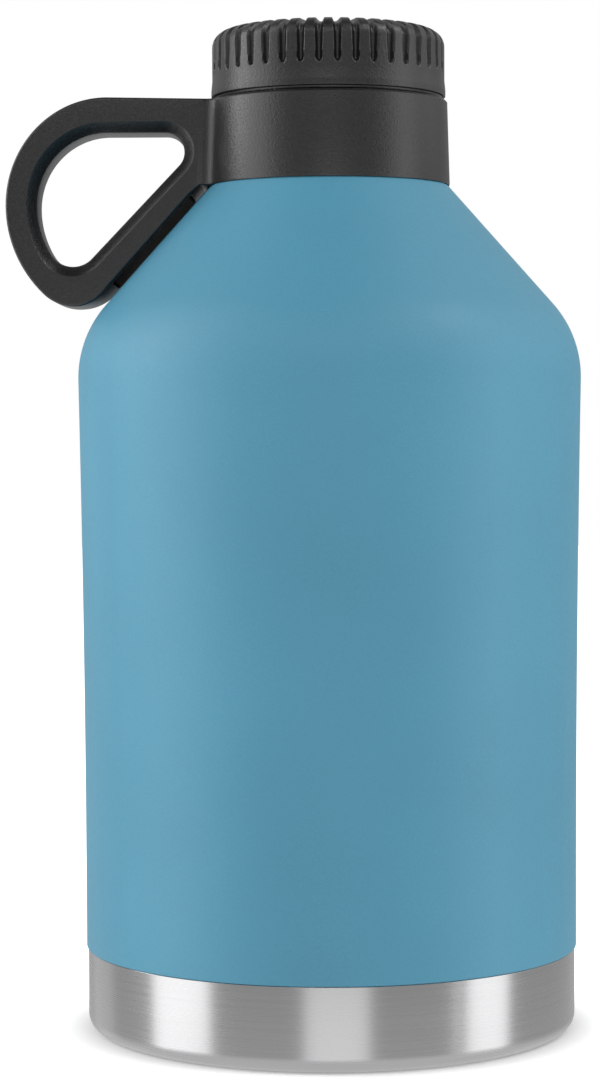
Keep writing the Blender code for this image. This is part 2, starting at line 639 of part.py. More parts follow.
def grip_cutters():
    """Round-ended grooves: one swept tube, copied round the cap."""
    side, rise = CAP_CORNER
    centre = (CAP_RADIUS - side, CAP_TOP - rise)
    path = [(CAP_RADIUS + GRIP_RUN_IN[0], GRIP_BOTTOM)]
    path.append((CAP_RADIUS + GRIP_LIFT, GRIP_BOTTOM + GRIP_RUN_IN[1]))
    path += arc(centre, (side + GRIP_LIFT, rise + GRIP_LIFT), 0.0, 90.0, 3)
    path += [(centre[0] - inward, CAP_TOP + rise_out) for inward, rise_out in GRIP_RUN_OUT]
    curve = bpy.data.curves.new("grip_path", "CURVE")
    curve.dimensions = "3D"
    curve.bevel_depth = GRIP_RADIUS
    curve.bevel_resolution = 1
    curve.use_fill_caps = True
    bm = curve_solid("grip_path", curve, [[(r, 0.0, z) for r, z in path]], False)
    first = bm.verts[:] + bm.edges[:] + bm.faces[:]
    pitch = 2.0 * math.pi / GRIP_COUNT
    bmesh.ops.rotate(bm, verts=bm.verts, cent=(0.0, 0.0, 0.0),
                     matrix=Matrix.Rotation(pitch / 2.0, 3, "Z"))
    for index in range(1, GRIP_COUNT):
        copy = bmesh.ops.duplicate(bm, geom=first)["geom"]
        verts = [item for item in copy if isinstance(item, bmesh.types.BMVert)]
        bmesh.ops.rotate(bm, verts=verts, cent=(0.0, 0.0, 0.0),
                         matrix=Matrix.Rotation(pitch * index, 3, "Z"))
    return mesh_object("grip_grooves", bm)


def cap_shell(mat):
    side, rise = CAP_CORNER
    centre = (CAP_RADIUS - side, CAP_TOP - rise)
    roof = CAP_TOP - CAP_ROOF
    profile = [(0.0, CAP_TOP)]
    profile += arc(centre, CAP_CORNER, 90.0, 0.0, 3)
    profile.append((CAP_RADIUS, CAP_BOTTOM + SKIRT_FLARE_TOP))
    profile.append((CAP_SKIRT_RADIUS, CAP_BOTTOM + SKIRT_CHAMFER))
    profile.append((CAP_SKIRT_RADIUS - SKIRT_CHAMFER, CAP_BOTTOM))
    profile.append((CAP_BORE, CAP_BOTTOM))
    profile.append((CAP_BORE, roof - ROOF_CORNER[1]))
    profile.append((CAP_BORE - ROOF_CORNER[0], roof))
    profile.append((0.0, roof))
    shell = turned("cap_shell", profile, CAP_SEGMENTS, closed=False)
    boolean(shell, grip_cutters(), "DIFFERENCE")
    finished(shell, mat, 30.0)


def cap_liner(mat):
    """Threaded inner cap, which carries the inside thread and the gasket."""
    top = LINER_CEILING + LINER_ROOF
    profile = [(0.0, top), (LINER_RADIUS - LINER_CHAMFER, top)]
    profile.append((LINER_RADIUS, top - LINER_CHAMFER))
    profile.append((LINER_RADIUS, LINER_BOTTOM))
    profile.append((CAP_THREAD_ROOT, LINER_BOTTOM))
    profile.append((CAP_THREAD_ROOT, LINER_CEILING))
    profile.append((0.0, LINER_CEILING))
    liner = turned("cap_liner", profile, NECK_SEGMENTS, closed=False)
    pitch = THREAD_LEAD / THREAD_STARTS
    lead_in = CAP_THREAD_LEAD_IN
    start_height = NECK_THREAD_START - pitch / 2.0 + THREAD_LEAD * lead_in / (2.0 * math.pi)
    for start in range(THREAD_STARTS):
        angle = THREAD_PHASE + lead_in + 2.0 * math.pi * start / THREAD_STARTS
        ridge = thread_ridge(f"cap_thread_{start}", CAP_THREAD_ROOT + THREAD_EMBED,
                             CAP_THREAD_CREST, start_height, angle, THREAD_TURNS,
                             NECK_SEGMENTS)
        boolean(liner, ridge, "UNION")
    finished(liner, mat)


def cap_foam(mat):
    bottom = LINER_CEILING + LINER_ROOF + GAP
    top = CAP_TOP - CAP_ROOF - GAP
    profile = [(0.0, top), (FOAM_RADIUS - FOAM_TAPER, top), (FOAM_RADIUS, bottom), (0.0, bottom)]
    finished(turned("cap_foam", profile, NECK_SEGMENTS, closed=False), mat)


def cap_gasket(mat):
    """Flat ring that seals the liner against the lip."""
    inner, outer = GASKET_RADII
    bottom = LIP_HEIGHT + GAP
    top = LINER_CEILING - GAP
    middle = (bottom + top) / 2.0
    bulge = GASKET_BULGE
    profile = [(outer - bulge, top), (outer, middle), (outer - bulge, bottom),
               (inner + bulge, bottom), (inner, middle), (inner + bulge, top)]
    finished(turned("cap_gasket", profile, NECK_SEGMENTS), mat)


clear_scene()
PARTS = collection("growler")
CUTTERS = collection("cutters")
COATING = material("blue_powder_coat", (0.088, 0.262, 0.376), 0.5)
BARE_STEEL = material("brushed_steel", (0.56, 0.56, 0.57), 0.3, 1.0)
INNER_STEEL = material("satin_steel", (0.5, 0.5, 0.51), 0.38, 1.0)
BLACK_NYLON = material("black_nylon", (0.045, 0.045, 0.047), 0.55)
GREY_RUBBER = material("grey_silicone", (0.32, 0.33, 0.34), 0.6)
FOAM = material("white_foam", (0.8, 0.79, 0.75), 0.9)
SOLDER = material("seal_metal", (0.35, 0.35, 0.36), 0.45, 1.0)
GETTER = material("getter_alloy", (0.16, 0.15, 0.15), 0.7, 0.6)

outer_wall(COATING)
upper_shell("outer", 0.0, SHELL_WALL, OUTER_NECK_RADIUS, COATING)
base_cup(BARE_STEEL)
base_plate(BARE_STEEL)
jacket_closure(INNER_STEEL)
port_seal(SOLDER)
getter(GETTER, INNER_STEEL)
inner_wall(INNER_STEEL)
upper_shell("inner", SHOULDER_RADIUS - VESSEL_RADIUS, VESSEL_WALL, MOUTH_RADIUS + VESSEL_WALL,
            INNER_STEEL)
inner_bottom(INNER_STEEL)
neck_ring(INNER_STEEL)
snap_ring(BARE_STEEL)
handle_collar(BLACK_NYLON)
cap_shell(BLACK_NYLON)
cap_liner(BLACK_NYLON)
cap_foam(FOAM)
cap_gasket(GREY_RUBBER)
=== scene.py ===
"""Looks of a double-wall steel growler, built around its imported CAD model.

Shapes are worked out in millimetres in the row's frame and made in metres. The bottle's axis
is Z, the handle points along -X, and the front faces -Y.
"""

import math

import bmesh
import bpy
import numpy as np
from mathutils import Matrix, Vector


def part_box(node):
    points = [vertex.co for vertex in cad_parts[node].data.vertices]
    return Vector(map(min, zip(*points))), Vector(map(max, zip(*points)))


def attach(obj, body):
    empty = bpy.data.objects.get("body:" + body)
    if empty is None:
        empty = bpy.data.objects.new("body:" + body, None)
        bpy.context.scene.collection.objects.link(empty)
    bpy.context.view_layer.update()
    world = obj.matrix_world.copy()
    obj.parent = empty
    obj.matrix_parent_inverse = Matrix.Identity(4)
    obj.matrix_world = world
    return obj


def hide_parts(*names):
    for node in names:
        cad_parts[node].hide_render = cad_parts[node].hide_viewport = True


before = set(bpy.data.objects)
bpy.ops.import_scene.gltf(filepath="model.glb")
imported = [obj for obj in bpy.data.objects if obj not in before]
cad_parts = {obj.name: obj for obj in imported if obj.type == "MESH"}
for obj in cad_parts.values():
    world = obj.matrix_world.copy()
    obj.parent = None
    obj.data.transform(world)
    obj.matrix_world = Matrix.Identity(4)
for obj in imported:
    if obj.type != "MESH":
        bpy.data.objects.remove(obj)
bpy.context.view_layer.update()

MM = 0.001


def reach(node):
    """A node's largest radius, in millimetres."""
    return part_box(node)[1].y / MM


def bottom(node):
    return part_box(node)[0].z / MM


def top(node):
    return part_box(node)[1].z / MM


# Segments around the axis.
BODY_SEGMENTS = 256
NECK_SEGMENTS = 192
GRIP_COUNT = 40
CAP_SEGMENTS = GRIP_COUNT * 20

# Coated wall.
WALL_RADIUS = reach("outer_shoulder")
FOOT_WALL_RADIUS = WALL_RADIUS - 1.55
FLARE_START = 40.0
SHOULDER_HEIGHT = 202.0
SHOULDER_BEND = 34.0
CONE_ANGLE = math.radians(41.4)
SHELL_WALL = 0.7
SHELL_EDGE = top("base_cup") + 0.1
SHELL_FOOT_RADIUS = 75.0
SHELL_FOOT_BEND = (0.7, 2.1)
NECK_RADIUS = 33.5
NECK_FILLET = 3.0
NECK_TOP = top("outer_neck")

# Bare base cup.
BASE_RADIUS = reach("base_cup")
BASE_TOP = top("base_cup")
BASE_WALL = 0.6
BASE_CORNER = BASE_RADIUS - reach("base_plate") - 0.3
# Inner and outer radius of the groove pressed into the floor plate, and how far it rises.
GROOVE_RADII = (50.0, 58.0)
GROOVE_RISE = 0.9
GROOVE_FILLET = 0.4

# Inner vessel and its domed floor.
VESSEL_RADIUS = reach("inner_wall")
VESSEL_WALL = 0.6
VESSEL_SEAM = bottom("inner_wall")
VESSEL_CORNER = 5.0
DOME_RISE = 2.0
DOME_SAG = 0.5
DOME_RADII = (30.0, 60.0)
MOUTH_RADIUS = 27.0

# Mouth ring and threads: two starts, right hand.
RING_WALL_RADIUS = 29.2
RING_LAND_RADIUS = 30.6
RING_GROOVE_RADIUS = 29.9
FLANGE_BOTTOM = bottom("neck_ring")
FLANGE_TOP = FLANGE_BOTTOM + 2.0
RING_GROOVE_TOP = 288.3
RING_LAND_TOP = 289.0
RING_WALL_BOTTOM = 290.4
LIP_HEIGHT = top("neck_ring")
THREAD_LEAD = 6.0
THREAD_STARTS = 2
THREAD_HALF_WIDTH = (0.75, 0.4)
THREAD_PHASE = math.radians(2.5)
NECK_THREAD_START = 290.7
CAP_THREAD_LEAD_IN = math.radians(90.0)
THREAD_HEIGHT = 1.4
THREAD_RUNOUT = math.radians(14.0)
THREAD_ROW_GAP = 0.16

# Retaining ring, with a gap in it.
SNAP_RING_RADII = (30.2, 35.1)
SNAP_RING_MIDDLE = 32.6
SNAP_RING_GAP = 12.0
SNAP_RING_FILLET = 0.3

# Collar and its keys.
COLLAR_BOTTOM = 261.1
COLLAR_TOP = 287.6
COLLAR_RADII = (37.6, 36.85)
COLLAR_BORE = 33.9
COLLAR_COUNTERBORE = 35.4
COLLAR_SEAT = 285.9
# The edge's size below, where it is round, and above, where it is a bevel.
COLLAR_EDGE = (0.8, 0.7)
COLLAR_CLEARANCE = 0.3
TAB_HALF = 11.0
KEY_COUNT = 3
KEY_ANGLE = math.radians(60.0)
KEY_RADIUS = 35.0
KEY_WIDTH = 4.0

# Handle loop, in the XZ plane.
HANDLE_HALF = 10.98
HANDLE_TOP = 287.6
HANDLE_CREST = 288.2
ROOT_FILLET = 5.0
ROOT_X = -35.2
ROOT_BOTTOM = 260.8
LOOP_CENTRE = (-68.2, 255.1)
LOWER_CENTRE = (-61.7, 255.1)
OUTER_LOOP = {"radii": (31.25, HANDLE_CREST - 255.1), "bend": 37.75, "tip": 14.0,
              "point": (-39.0, 260.7), "angle": math.radians(41.95)}
INNER_LOOP = {"radii": (21.8, 22.5), "bend": 28.3, "tip": 8.0,
              "point": (-47.0, 266.5), "angle": math.radians(43.6)}
INNER_CORNER = 6.0
# An edge's size across the face and in depth, and its power: 1 is a round, 2 a flat bevel.
OUTER_EDGE = (0.8, 0.8, 1.0)
INNER_EDGE = (3.2, 3.8, 1.8)
# How far the strut's underside is moved in at its front and out at its back.
STRUT_LEAN = (1.2, 0.5)
# Points of the outline, counted from the strut's foot, where the lean starts, is full, starts
# to fade and ends.
STRUT_LEAN_SPAN = (-14, 0, 26, 32)
POCKET = {"width": 16.0, "depth": 7.5, "start": 4.0, "length": 36.5, "over": 3.0}

# Cap.
CAP_BOTTOM = bottom("cap_shell")
CAP_TOP = top("cap_shell")
SKIRT_RADIUS = reach("cap_shell")
CAP_RADIUS = SKIRT_RADIUS - 0.3
CAP_CORNER = (6.1, 5.2)
CAP_BORE = 34.0
CAP_ROOF = 2.9
# Width and depth of the lip inside the cap's lower edge.
CAP_LIP = (1.0, 0.8)
# How far above the cap's lower edge the skirt starts to flare out, and is at its full size.
SKIRT_FLARE = (5.0, 2.0)
# Grooves of the grip: their lower end, its rounding, half widths below and above, depth, and
# the radii between which they fade out on the top.
GRIP_END = 295.6
GRIP_ROUND = 1.0
GRIP_HALF_WIDTH = (1.05, 1.5)
GRIP_DEPTH = 1.5
GRIP_FADE = (30.0, 21.0)
LINER_RADIUS = reach("cap_liner")
LINER_BOTTOM = bottom("cap_liner")
LINER_TOP = top("cap_liner")
LINER_BORE = 31.1
LINER_CEILING = LINER_TOP - 1.6
LINER_MARGIN = 1.0
GASKET_BORE = 26.4
GASKET_ROUND = 0.8

# Camera, matched to the photo: metres, and degrees of pitch, yaw and roll.
CAMERA_PLACE = (0.0, -0.899, 0.1828)
CAMERA_TURN = (2.03, 0.596, -0.227)
CAMERA_LENS = 95.7


# Shape helpers -----------------------------------------------------------------------------


def arc(centre, radii, start, end, steps):
    """Points on an ellipse arc, with angles in degrees."""
    angles = np.radians(np.linspace(start, end, steps + 1))
    return [(centre[0] + radii[0] * math.cos(a), centre[1] + radii[1] * math.sin(a))
            for a in angles]


def rounded(corners, steps=6):
    """An outline from (x, z, fillet) corners. The first and last corners stay sharp."""
    points = [corners[0][:2]]
    for before, here, after in zip(corners, corners[1:], corners[2:]):
        place, fillet = Vector(here[:2]), here[2]
        if not fillet:
            points.append(tuple(place))
            continue
        back, on = Vector(before[:2]) - place, Vector(after[:2]) - place
        half = back.angle(on) / 2.0
        run = min(fillet / math.tan(half), 0.49 * back.length, 0.49 * on.length)
        bend = run * math.tan(half)
        middle = (back.normalized() + on.normalized()).normalized()
        centre = place + middle * (bend / math.sin(half))
        first = place + back.normalized() * run - centre
        last = place + on.normalized() * run - centre
        for step in range(steps + 1):
            spoke = first.slerp(last, step / steps, first)
            points.append(tuple(centre + spoke.normalized() * bend))
    points.append(corners[-1][:2])
    return points


def dense(points, gap):
    """The same outline with no two points further apart than gap."""
    result = [points[0]]
    for (x0, z0), (x1, z1) in zip(points, points[1:]):
        count = max(1, math.ceil(math.hypot(x1 - x0, z1 - z0) / gap))
        result += [(x0 + (x1 - x0) * i / count, z0 + (z1 - z0) * i / count)
                   for i in range(1, count + 1)]
    return result


def outward(profile):
    """Unit normals of a profile that runs down its outer side."""
    points = np.array(profile)
    run = np.gradient(points, axis=0)
    normals = np.stack([-run[:, 1], run[:, 0]], axis=1)
    return normals / np.maximum(np.linalg.norm(normals, axis=1, keepdims=True), 1e-9)


def shaded(obj, sharp_angle):
    obj.data.shade_smooth()
    obj.data.set_sharp_from_angle(angle=math.radians(sharp_angle))
    return obj


def from_bmesh(name, bm, sharp_angle=35.0):
    bmesh.ops.scale(bm, vec=(MM, MM, MM), verts=bm.verts)
    bmesh.ops.recalc_face_normals(bm, faces=bm.faces)
    mesh = bpy.data.meshes.new(name)
    bm.to_mesh(mesh)
    bm.free()
    obj = bpy.data.objects.new(name, mesh)
    bpy.context.scene.collection.objects.link(obj)
    return shaded(obj, sharp_angle)


def turned(name, profile, segments, relief=None, relief_rows=0, closed=True,
           sharp_angle=35.0):
    """A (radius, height) profile turned about Z.

    relief(radius, height, angles) says how far the first relief_rows rings stand out of
    the surface. An open profile starts and ends on the axis.
    """
    bm = bmesh.new()
    angles = 2.0 * math.pi * np.arange(segments) / segments
    normals = outward(profile)
    rings = []
    for row, (radius, height) in enumerate(profile):
        if radius < 1e-9:
            rings.append([bm.verts.new((0.0, 0.0, height))])
            continue
        raised = relief(radius, height, angles) if row < relief_rows else np.zeros(segments)
        radii = radius + raised * normals[row][0]
        heights = height + raised * normals[row][1]
        rings.append([bm.verts.new((r * math.cos(a), r * math.sin(a), h))
                      for r, a, h in zip(radii, angles, heights)])
    pairs = list(zip(rings, rings[1:]))
    if closed:
        pairs.append((rings[-1], rings[0]))
    for upper, lower in pairs:
        for i in range(segments):
            j = (i + 1) % segments
            corners = [upper[i % len(upper)], upper[j % len(upper)],
                       lower[j % len(lower)], lower[i % len(lower)]]
            bm.faces.new(list(dict.fromkeys(corners)))
    return from_bmesh(name, bm, sharp_angle)


def swept_arc(name, profile, start, end, steps):
    """A closed profile swept part of the way round the axis, with flat ends."""
    bm = bmesh.new()
    rings = []
    for angle in np.radians(np.linspace(start, end, steps + 1)):
        rings.append([bm.verts.new((r * math.cos(angle), r * math.sin(angle), z))
                      for r, z in profile])
    count = len(profile)
    for here, there in zip(rings, rings[1:]):
        for i in range(count):
            j = (i + 1) % count
            bm.faces.new((here[i], here[j], there[j], there[i]))
    bm.faces.new(rings[0])
    bm.faces.new(rings[-1])
    return from_bmesh(name, bm)


def block(name, size, matrix, fillet=0.0):
    bm = bmesh.new()
    bmesh.ops.create_cube(bm, size=1.0, matrix=Matrix.Diagonal((*size, 1.0)))
    if fillet:
        bmesh.ops.bevel(bm, geom=bm.edges[:], offset=fillet, segments=4, profile=0.5,
                        affect="EDGES")
    bmesh.ops.transform(bm, matrix=matrix, verts=bm.verts)
    return from_bmesh(name, bm)


def combine(target, tool, operation):
    """Applies an exact Boolean and removes the tool."""
    modifier = target.modifiers.new(operation.title(), "BOOLEAN")
    modifier.operation = operation
    modifier.solver = "EXACT"
    modifier.object = tool
    depsgraph = bpy.context.evaluated_depsgraph_get()
    mesh = bpy.data.meshes.new_from_object(target.evaluated_get(depsgraph))
    target.modifiers.clear()
    target.data = mesh
    mesh.name = target.name
    bpy.data.objects.remove(tool, do_unlink=True)


# Node helpers ------------------------------------------------------------------------------


class Finish:
    """A Principled material with short calls for its procedural nodes."""

    def __init__(self, name, roughness, metallic=0.0, **constants):
        self.material = bpy.data.materials.new(name)
        self.material.use_nodes = True
        self.tree = self.material.node_tree
        self.shader = self.tree.nodes["Principled BSDF"]
        self.shader.inputs["Roughness"].default_value = roughness
        self.shader.inputs["Metallic"].default_value = metallic
        for socket, value in constants.items():
            self.shader.inputs[socket.replace("_", " ")].default_value = value
        self.place = self.node("ShaderNodeTexCoord").outputs["Object"]

    def node(self, kind, links=(), **settings):
        made = self.tree.nodes.new(kind)
        for name, value in settings.items():
            setattr(made, name, value)
        for socket, value in dict(links).items():
            if isinstance(value, bpy.types.NodeSocket):
                self.tree.links.new(value, made.inputs[socket])
            else:
                made.inputs[socket].default_value = value
        return made

    def noise(self, scale, detail=2.0, place=None):
        links = {"Vector": place or self.place, "Scale": scale, "Detail": detail}
        return self.node("ShaderNodeTexNoise", links).outputs["Fac"]

    def cells(self, scale):
        links = {"Vector": self.place, "Scale": scale}
        return self.node("ShaderNodeTexVoronoi", links).outputs["Distance"]

    def maths(self, operation, first, second=0.0):
        links = {0: first, 1: second}
        return self.node("ShaderNodeMath", links, operation=operation).outputs[0]

    def span(self, value, low, high, start=0.3, end=0.7):
        """value from start to end, mapped to low to high."""
        links = {"Value": value, "From Min": start, "From Max": end, "To Min": low,
                 "To Max": high}
        return self.node("ShaderNodeMapRange", links).outputs["Result"]

    def streaks(self, across, along=25.0):
        """Places stretched around Z: rings on a wall, circles on a flat face."""
        split = self.node("ShaderNodeSeparateXYZ", {0: self.place}).outputs
        square = self.maths("ADD", self.maths("MULTIPLY", split[0], split[0]),
                            self.maths("MULTIPLY", split[1], split[1]))
        level = self.maths("ADD", split[2], self.maths("SQRT", square))
        links = {0: self.maths("MULTIPLY", split[0], along),
                 1: self.maths("MULTIPLY", split[1], along),
                 2: self.maths("MULTIPLY", level, across)}
        return self.node("ShaderNodeCombineXYZ", links).outputs[0]

    def colour(self, value, dark, light, start=0.3, end=0.7):
        ramp = self.node("ShaderNodeValToRGB", {"Fac": value})
        first, last = ramp.color_ramp.elements
        first.position, first.color = start, (*dark, 1.0)
        last.position, last.color = end, (*light, 1.0)
        self.tree.links.new(ramp.outputs["Color"], self.shader.inputs["Base Color"])

    def roughness(self, value, low, high):
        self.tree.links.new(self.span(value, low, high), self.shader.inputs["Roughness"])

    def bump(self, layers):
        """Layers of (height, strength, distance in metres), one on top of the other."""
        normal = None
        for height, strength, distance in layers:
            links = {"Height": height, "Strength": strength, "Distance": distance}
            if normal:
                links["Normal"] = normal
            normal = self.node("ShaderNodeBump", links).outputs["Normal"]
        self.tree.links.new(normal, self.shader.inputs["Normal"])

    def brushed_round(self):
        tangent = self.node("ShaderNodeTangent", direction_type="RADIAL", axis="Z")
        self.tree.links.new(tangent.outputs[0], self.shader.inputs["Tangent"])


# Materials ---------------------------------------------------------------------------------


def tint(colour, factor):
    return tuple(channel * factor for channel in colour)


def powder_coat():
    blue = (0.08, 0.296, 0.428)
    finish = Finish("blue_powder_coat", 0.45, Specular_IOR_Level=0.45)
    grit = finish.noise(2600.0, 3.0)
    peel = finish.noise(700.0, 2.0)
    clouds = finish.noise(18.0, 3.0)
    mottle = finish.maths("ADD", finish.maths("MULTIPLY", grit, 0.6),
                          finish.maths("MULTIPLY", clouds, 0.4))
    finish.colour(mottle, tint(blue, 0.93), tint(blue, 1.07), 0.35, 0.65)
    finish.roughness(peel, 0.47, 0.55)
    finish.bump([(peel, 0.16, 0.0002), (grit, 0.12, 0.0001)])
    return finish.material


def brushed_steel():
    steel = (0.43, 0.43, 0.435)
    finish = Finish("brushed_steel", 0.27, 1.0, Anisotropic=0.75, Anisotropic_Rotation=0.25)
    fine = finish.noise(1.0, 4.0, finish.streaks(5200.0))
    broad = finish.noise(1.0, 2.0, finish.streaks(900.0, 12.0))
    both = finish.maths("ADD", finish.maths("MULTIPLY", fine, 0.7),
                        finish.maths("MULTIPLY", broad, 0.3))
    finish.colour(both, tint(steel, 0.95), tint(steel, 1.05))
    finish.roughness(both, 0.25, 0.29)
    finish.bump([(fine, 0.008, 0.00005)])
    finish.brushed_round()
    return finish.material


def satin_steel():
    steel = (0.5, 0.5, 0.51)
    finish = Finish("satin_steel", 0.38, 1.0, Anisotropic=0.3, Anisotropic_Rotation=0.25)
    fine = finish.noise(1.0, 3.0, finish.streaks(3000.0, 60.0))
    stain = finish.noise(40.0, 4.0)
    finish.colour(stain, tint(steel, 0.92), tint(steel, 1.06))
    finish.roughness(fine, 0.33, 0.44)
    finish.bump([(fine, 0.06, 0.00005)])
    finish.brushed_round()
    return finish.material


def black_nylon():
    nylon = (0.007, 0.007, 0.0073)
    finish = Finish("black_nylon", 0.36, Specular_IOR_Level=0.64)
    grain = finish.noise(1500.0, 3.0)
    pits = finish.cells(1300.0)
    speckle = finish.maths("ADD", finish.maths("MULTIPLY", grain, 0.7),
                           finish.maths("MULTIPLY", pits, 0.3))
    finish.colour(speckle, tint(nylon, 0.75), tint(nylon, 1.35), 0.35, 0.65)
    finish.roughness(grain, 0.31, 0.42)
    finish.bump([(grain, 0.45, 0.00018), (pits, 0.2, 0.00012)])
    return finish.material


def plain_finish(name, colour, roughness, scale, depth, metallic=0.0):
    """A dull surface with mottled colour and fine grain at one scale."""
    finish = Finish(name, roughness, metallic)
    grain = finish.noise(scale, 4.0)
    finish.colour(grain, tint(colour, 0.88), tint(colour, 1.1))
    finish.roughness(grain, roughness - 0.06, roughness + 0.06)
    finish.bump([(grain, 0.3, depth)])
    return finish.material


def closed_cell_foam():
    white = (0.8, 0.79, 0.75)
    finish = Finish("white_foam", 0.9)
    cells = finish.cells(900.0)
    finish.colour(cells, tint(white, 0.85), tint(white, 1.05), 0.1, 0.7)
    finish.roughness(cells, 0.85, 0.95)
    finish.bump([(cells, 0.5, 0.0003)])
    return finish.material


MATERIALS = {
    "blue_powder_coat": powder_coat(),
    "brushed_steel": brushed_steel(),
    "satin_steel": satin_steel(),
    "black_nylon": black_nylon(),
    "grey_silicone": plain_finish("grey_silicone", (0.32, 0.33, 0.34), 0.6, 1500.0, 0.0001),
    "white_foam": closed_cell_foam(),
    "seal_metal": plain_finish("seal_metal", (0.35, 0.35, 0.36), 0.45, 800.0, 0.0002, 1.0),
    "getter_alloy": plain_finish("getter_alloy", (0.16, 0.15, 0.15), 0.7, 2500.0, 0.0002, 0.6),
}


def dressed(obj, slot, body, *nodes):
    """Gives a piece its material, its body and the CAD nodes that it stands for."""
    obj.data.materials.clear()
    obj.data.materials.append(MATERIALS[slot])
    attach(obj, body)
    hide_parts(*nodes)


# Body --------------------------------------------------------------------------------------


def cone_height(radius, inset=0.0):
    """Height of the cone at a radius, with the surface moved inwards by inset."""
    bend = SHOULDER_BEND - inset
    bend_radius = WALL_RADIUS - SHOULDER_BEND + bend * math.cos(CONE_ANGLE)
    bend_height = SHOULDER_HEIGHT + bend * math.sin(CONE_ANGLE)
    return bend_height + (bend_radius - radius) / math.tan(CONE_ANGLE)


def shoulder(inset):
    bend = SHOULDER_BEND - inset
    centre = (WALL_RADIUS - SHOULDER_BEND, SHOULDER_HEIGHT)
    return arc(centre, (bend, bend), math.degrees(CONE_ANGLE), 0.0, 20)


def flared_wall(inset):
    """Wall from the shoulder down to the start of its gentle flare."""
    points = []
    for height in np.linspace(SHOULDER_HEIGHT, FLARE_START, 13)[1:]:
        rise = (height - FLARE_START) / (SHOULDER_HEIGHT - FLARE_START)
        points.append((FOOT_WALL_RADIUS + (WALL_RADIUS - FOOT_WALL_RADIUS) * rise ** 2 - inset,
                       float(height)))
    return points


def outer_wall():
    """The whole coated wall, with a step inwards at its foot that the base cup goes over."""
    on_cone = NECK_RADIUS + 8.0
    neck = rounded([(NECK_RADIUS, NECK_TOP, 0.0),
                    (NECK_RADIUS, cone_height(NECK_RADIUS), NECK_FILLET),
                    (on_cone, cone_height(on_cone), 0.0)])
    foot_bottom = bottom("outer_wall")
    inside = SHELL_FOOT_RADIUS - SHELL_WALL
    bend_low, bend_high = SHELL_FOOT_BEND
    foot = rounded([(FOOT_WALL_RADIUS, FLARE_START, 0.0), (FOOT_WALL_RADIUS, SHELL_EDGE, 0.5),
                    (SHELL_FOOT_RADIUS, SHELL_EDGE, 0.2), (SHELL_FOOT_RADIUS, foot_bottom, 0.2),
                    (inside, foot_bottom, 0.2), (inside, SHELL_EDGE + bend_low, 0.5),
                    (FOOT_WALL_RADIUS - SHELL_WALL, SHELL_EDGE + bend_high, 0.5),
                    (FOOT_WALL_RADIUS - SHELL_WALL, FLARE_START, 0.0)])
    inner_neck = NECK_RADIUS - SHELL_WALL
    profile = neck + shoulder(0.0) + flared_wall(0.0)[:-1] + foot
    profile += list(reversed(flared_wall(SHELL_WALL)))[1:] + list(reversed(shoulder(SHELL_WALL)))
    profile += [(inner_neck, cone_height(inner_neck, SHELL_WALL)), (inner_neck, NECK_TOP)]
    dressed(turned("coated_wall", profile, BODY_SEGMENTS), "blue_powder_coat", "vessel",
            "outer_wall", "outer_shoulder", "outer_cone", "outer_neck")


def base():
    """The open cup and the grooved plate in its floor."""
    inside = BASE_RADIUS - BASE_WALL
    flat = BASE_RADIUS - BASE_CORNER
    cup = rounded([(flat, BASE_WALL, 0.0), (inside, BASE_WALL, BASE_CORNER - BASE_WALL),
                   (inside, BASE_TOP, 0.1), (BASE_RADIUS, BASE_TOP, 0.25),
                   (BASE_RADIUS, 0.0, BASE_CORNER), (flat, 0.0, 0.0)], 12)
    dressed(turned("steel_base_cup", cup, BODY_SEGMENTS), "brushed_steel", "vessel", "base_cup")
    edge = reach("base_plate")
    wall, rise, fillet = BASE_WALL, GROOVE_RISE, GROOVE_FILLET
    inner, outer = GROOVE_RADII
    plate = rounded([(0.0, wall, 0.0), (inner - wall, wall, fillet),
                     (inner - wall + rise, wall + rise, fillet),
                     (outer + wall - rise, wall + rise, fillet), (outer + wall, wall, fillet),
                     (edge, wall, 0.1), (edge, 0.0, 0.1), (outer, 0.0, fillet),
                     (outer - rise, rise, fillet), (inner + rise, rise, fillet),
                     (inner, 0.0, fillet), (0.0, 0.0, 0.0)])
    dressed(turned("steel_base_plate", plate, BODY_SEGMENTS, closed=False), "brushed_steel",
            "vessel", "base_plate")


def vessel():
    """The inner wall up to the mouth ring, and the domed floor welded into it."""
    inset = WALL_RADIUS - VESSEL_RADIUS
    neck = MOUTH_RADIUS + VESSEL_WALL
    profile = [(neck, NECK_TOP), (neck, cone_height(neck, inset))] + shoulder(inset)
    profile += [(VESSEL_RADIUS, VESSEL_SEAM), (VESSEL_RADIUS - VESSEL_WALL, VESSEL_SEAM)]
    profile += list(reversed(shoulder(inset + VESSEL_WALL)))
    profile += [(MOUTH_RADIUS, cone_height(MOUTH_RADIUS, inset + VESSEL_WALL)),
                (MOUTH_RADIUS, NECK_TOP)]
    dressed(turned("vessel_wall", profile, NECK_SEGMENTS), "satin_steel", "vessel",
            "inner_wall", "inner_shoulder", "inner_cone", "inner_neck")
    floor, seam = bottom("inner_bottom"), top("inner_bottom")
    dome = floor + DOME_RISE
    mid, foot = DOME_RADII
    wall = VESSEL_WALL
    inside = VESSEL_RADIUS - wall
    floor_profile = rounded([(0.0, dome + wall, 0.0), (mid, dome + wall - DOME_SAG, 20.0),
                             (foot, floor + wall, 10.0),
                             (inside, floor + wall, VESSEL_CORNER - wall),
                             (inside, seam, 0.1), (VESSEL_RADIUS, seam, 0.1),
                             (VESSEL_RADIUS, floor, VESSEL_CORNER), (foot, floor, 10.0),
                             (mid, dome - DOME_SAG, 20.0), (0.0, dome, 0.0)], 8)
    dressed(turned("vessel_floor", floor_profile, NECK_SEGMENTS, closed=False), "satin_steel",
            "vessel", "inner_bottom")


